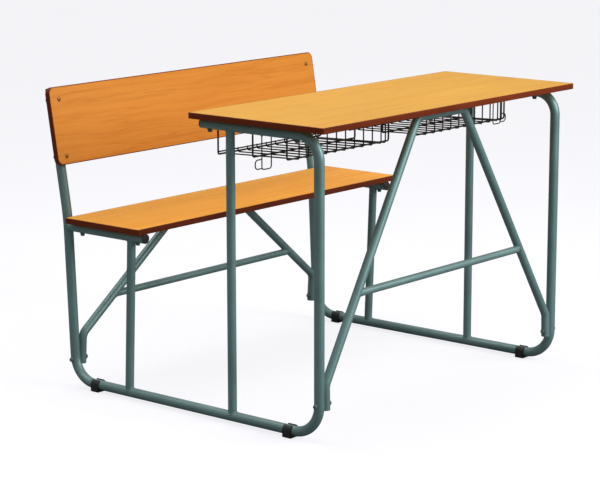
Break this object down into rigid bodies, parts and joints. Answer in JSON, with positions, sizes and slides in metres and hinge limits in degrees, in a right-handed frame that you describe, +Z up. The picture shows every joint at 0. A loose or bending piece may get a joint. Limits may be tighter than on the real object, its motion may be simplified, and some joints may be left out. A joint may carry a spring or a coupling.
{
  "type": "school desk",
  "caption": "Double school desk with an attached bench: laminated top, seat and backrest on a bent steel tube frame with A-shaped braces, wire book baskets and bag hooks.",
  "frame": {"origin": "middle of the footprint, on the floor", "axes": "+X along the width, from the left frame to the right one; +Y from the desk to the backrest, so a pupil faces -Y; +Z up"},
  "size_m": [1.05, 0.9414, 0.7797],
  "materials": {
    "painted_tube": "semi-gloss",
    "laminate": "satin laminate",
    "edge_band": "satin",
    "black_plastic": "matte",
    "black_wire": "semi-gloss",
    "zinc_steel": "dull"
  },
  "bodies": {
    "root": {"left_side_frame_tube": "painted_tube", "left_desk_upright": "painted_tube", "left_seat_upright": "painted_tube", "left_seat_rail": "painted_tube", "left_desk_rail_plug": "black_plastic", "left_seat_rail_plug": "black_plastic", "left_back_post_plug": "black_plastic", "left_front_foot_glide": "black_plastic", "left_rear_foot_glide": "black_plastic", "left_wire_basket": "black_wire", "left_bag_hook": "black_wire", "right_side_frame_tube": "painted_tube", "right_desk_upright": "painted_tube", "right_seat_upright": "painted_tube", "right_seat_rail": "painted_tube", "right_desk_rail_plug": "black_plastic", "right_seat_rail_plug": "black_plastic", "right_back_post_plug": "black_plastic", "right_front_foot_glide": "black_plastic", "right_rear_foot_glide": "black_plastic", "right_wire_basket": "black_wire", "right_bag_hook": "black_wire", "left_desk_brace_screw": "zinc_steel", "left_desk_brace_bolt": "zinc_steel", "left_desk_brace_nut": "zinc_steel", "left_seat_brace_screw": "zinc_steel", "left_seat_brace_bolt": "zinc_steel", "left_seat_brace_nut": "zinc_steel", "left_front_desk_top_bolt": "zinc_steel", "left_front_seat_bolt": "zinc_steel", "left_back_desk_top_bolt": "zinc_steel", "left_back_seat_bolt": "zinc_steel", "left_upper_backrest_bolt": "zinc_steel", "left_upper_backrest_nut": "zinc_steel", "left_lower_backrest_bolt": "zinc_steel", "left_lower_backrest_nut": "zinc_steel", "right_desk_brace_screw": "zinc_steel", "right_desk_brace_bolt": "zinc_steel", "right_desk_brace_nut": "zinc_steel", "right_seat_brace_screw": "zinc_steel", "right_seat_brace_bolt": "zinc_steel", "right_seat_brace_nut": "zinc_steel", "right_front_desk_top_bolt": "zinc_steel", "right_front_seat_bolt": "zinc_steel", "right_back_desk_top_bolt": "zinc_steel", "right_back_seat_bolt": "zinc_steel", "right_upper_backrest_bolt": "zinc_steel", "right_upper_backrest_nut": "zinc_steel", "right_lower_backrest_bolt": "zinc_steel", "right_lower_backrest_nut": "zinc_steel", "desk_brace_tube": "painted_tube", "desk_brace_crossbar": "painted_tube", "seat_brace_tube": "painted_tube", "seat_brace_crossbar": "painted_tube", "desk_top_board": "laminate", "desk_top_edge_band": "edge_band", "seat_board": "laminate", "seat_edge_band": "edge_band", "backrest_board": "laminate", "backrest_edge_band": "edge_band"}
  },
  "joints": []
}
